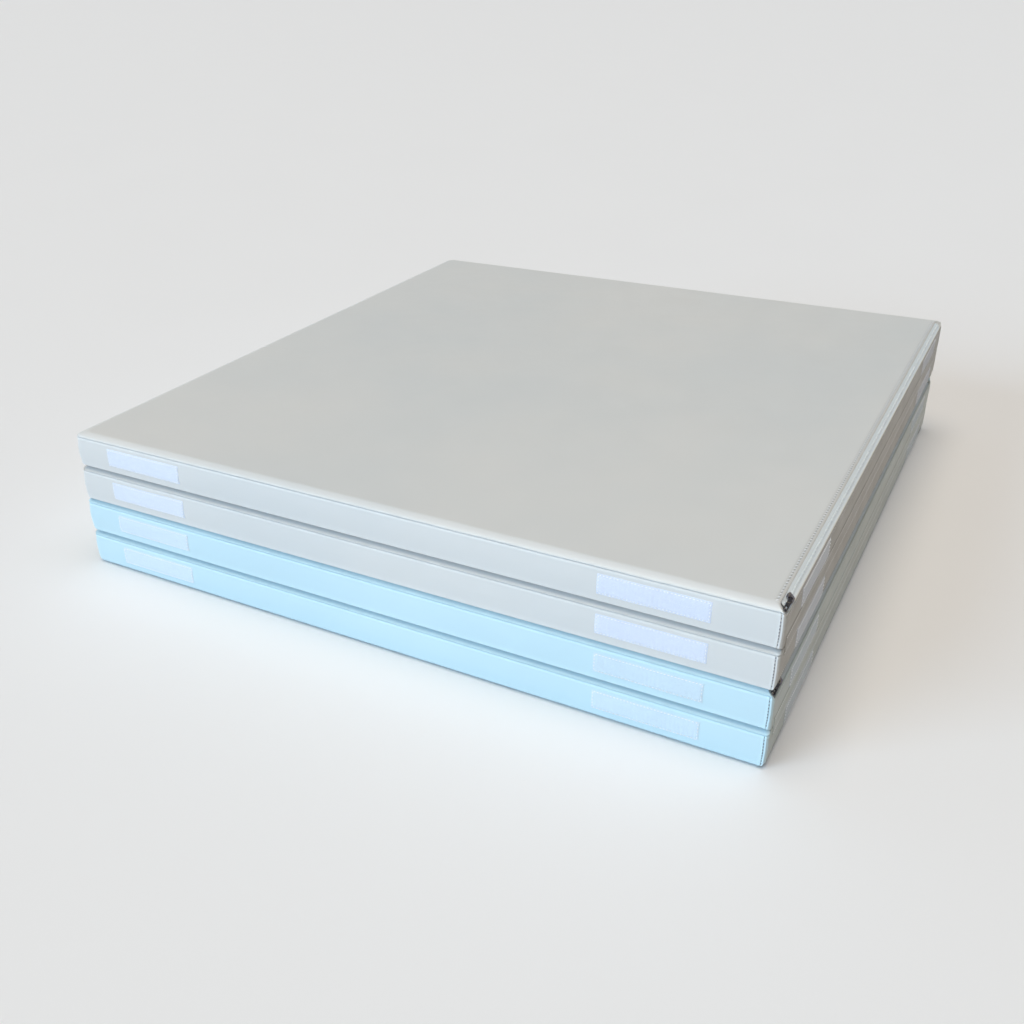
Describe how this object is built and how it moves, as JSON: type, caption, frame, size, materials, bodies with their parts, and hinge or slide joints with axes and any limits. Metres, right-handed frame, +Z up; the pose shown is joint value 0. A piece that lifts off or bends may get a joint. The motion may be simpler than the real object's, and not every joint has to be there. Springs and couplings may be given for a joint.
{
  "type": "folding gym mat",
  "caption": "Folding gym mat, stored folded up as an accordion: padded panels in zipped vinyl covers with hook-and-loop joining strips.",
  "frame": {"origin": "on the floor, under the middle of the folded stack", "axes": "+X across the panels, from the side with one fold to the side with two folds and the zips; +Y along the folds, to the back; +Z up out of the top panel"},
  "size_m": [0.999, 1.07, 0.206],
  "materials": {
    "grey_cover": "satin",
    "blue_cover": "satin",
    "foam": "matte",
    "loop_tape": "matte",
    "hook_tape": "matte",
    "zip_tape": "matte",
    "zip_coil": "satin",
    "zip_slider": "gloss",
    "zip_puller": "gloss"
  },
  "bodies": {
    "panel_4": {"panel_4_foam_core": "foam", "panel_4_top_sheet": "blue_cover", "panel_4_bottom_sheet": "blue_cover", "panel_4_front_band": "blue_cover", "panel_4_back_band": "blue_cover", "panel_4_left_band": "blue_cover", "panel_4_right_band": "blue_cover", "panel_4_zip_tape": "zip_tape", "panel_4_zip_coil": "zip_coil", "panel_4_zip_stops": "zip_coil", "panel_4_loop_strips": "loop_tape", "panel_4_hook_strips": "hook_tape", "fold_hinge_3_4": "blue_cover"},
    "slider_4": {"panel_4_zip_slider": "zip_slider"},
    "puller_4": {"panel_4_zip_puller": "zip_puller"},
    "panel_3": {"panel_3_foam_core": "foam", "panel_3_top_sheet": "blue_cover", "panel_3_bottom_sheet": "blue_cover", "panel_3_front_band": "blue_cover", "panel_3_back_band": "blue_cover", "panel_3_left_band": "blue_cover", "panel_3_right_band": "blue_cover", "panel_3_zip_tape": "zip_tape", "panel_3_zip_coil": "zip_coil", "panel_3_zip_stops": "zip_coil", "panel_3_loop_strips": "loop_tape", "panel_3_hook_strips": "hook_tape", "fold_hinge_2_3": "blue_cover"},
    "slider_3": {"panel_3_zip_slider": "zip_slider"},
    "puller_3": {"panel_3_zip_puller": "zip_puller"},
    "panel_2": {"panel_2_foam_core": "foam", "panel_2_top_sheet": "grey_cover", "panel_2_bottom_sheet": "grey_cover", "panel_2_front_band": "grey_cover", "panel_2_back_band": "grey_cover", "panel_2_left_band": "grey_cover", "panel_2_right_band": "grey_cover", "panel_2_zip_tape": "zip_tape", "panel_2_zip_coil": "zip_coil", "panel_2_zip_stops": "zip_coil", "panel_2_loop_strips": "loop_tape", "panel_2_hook_strips": "hook_tape", "fold_hinge_1_2": "grey_cover"},
    "slider_2": {"panel_2_zip_slider": "zip_slider"},
    "puller_2": {"panel_2_zip_puller": "zip_puller"},
    "panel_1": {"panel_1_foam_core": "foam", "panel_1_top_sheet": "grey_cover", "panel_1_bottom_sheet": "grey_cover", "panel_1_front_band": "grey_cover", "panel_1_back_band": "grey_cover", "panel_1_left_band": "grey_cover", "panel_1_right_band": "grey_cover", "panel_1_zip_tape": "zip_tape", "panel_1_zip_coil": "zip_coil", "panel_1_zip_stops": "zip_coil", "panel_1_loop_strips": "loop_tape", "panel_1_hook_strips": "hook_tape"},
    "slider_1": {"panel_1_zip_slider": "zip_slider"},
    "puller_1": {"panel_1_zip_puller": "zip_puller"}
  },
  "joints": [
    {"name": "fold_3_4", "type": "hinge", "parent": "panel_4", "child": "panel_3", "pos_m": [0.5, 0, 0.0514], "axis": [0, 1, 0], "range_deg": [0, 180], "deforming": ["fold_hinge_3_4"]},
    {"name": "fold_2_3", "type": "hinge", "parent": "panel_3", "child": "panel_2", "pos_m": [-0.5, 0, 0.103], "axis": [0, -1, 0], "range_deg": [0, 180], "deforming": ["fold_hinge_2_3"]},
    {"name": "fold_1_2", "type": "hinge", "parent": "panel_2", "child": "panel_1", "pos_m": [0.5, 0, 0.1546], "axis": [0, 1, 0], "range_deg": [0, 180], "deforming": ["fold_hinge_1_2"]},
    {"name": "zip_4_slide", "type": "slide", "parent": "panel_4", "child": "slider_4", "axis": [0, -1, 0], "range_m": [0, 1.008]},
    {"name": "zip_4_puller", "type": "hinge", "parent": "slider_4", "child": "puller_4", "pos_m": [0.49412, 0.503, 0.00338], "axis": [-0.7071, 0, -0.7071], "range_deg": [0, 180]},
    {"name": "zip_3_slide", "type": "slide", "parent": "panel_3", "child": "slider_3", "axis": [0, 1, 0], "range_m": [0, 1.008]},
    {"name": "zip_3_puller", "type": "hinge", "parent": "slider_3", "child": "puller_3", "pos_m": [0.49412, -0.503, 0.09942], "axis": [-0.7071, 0, 0.7071], "range_deg": [0, 180]},
    {"name": "zip_2_slide", "type": "slide", "parent": "panel_2", "child": "slider_2", "axis": [0, -1, 0], "range_m": [0, 1.008]},
    {"name": "zip_2_puller", "type": "hinge", "parent": "slider_2", "child": "puller_2", "pos_m": [0.49412, 0.503, 0.10658], "axis": [-0.7071, 0, -0.7071], "range_deg": [0, 180]},
    {"name": "zip_1_slide", "type": "slide", "parent": "panel_1", "child": "slider_1", "axis": [0, 1, 0], "range_m": [0, 1.008]},
    {"name": "zip_1_puller", "type": "hinge", "parent": "slider_1", "child": "puller_1", "pos_m": [0.49412, -0.503, 0.20262], "axis": [-0.7071, 0, 0.7071], "range_deg": [0, 180]}
  ]
}
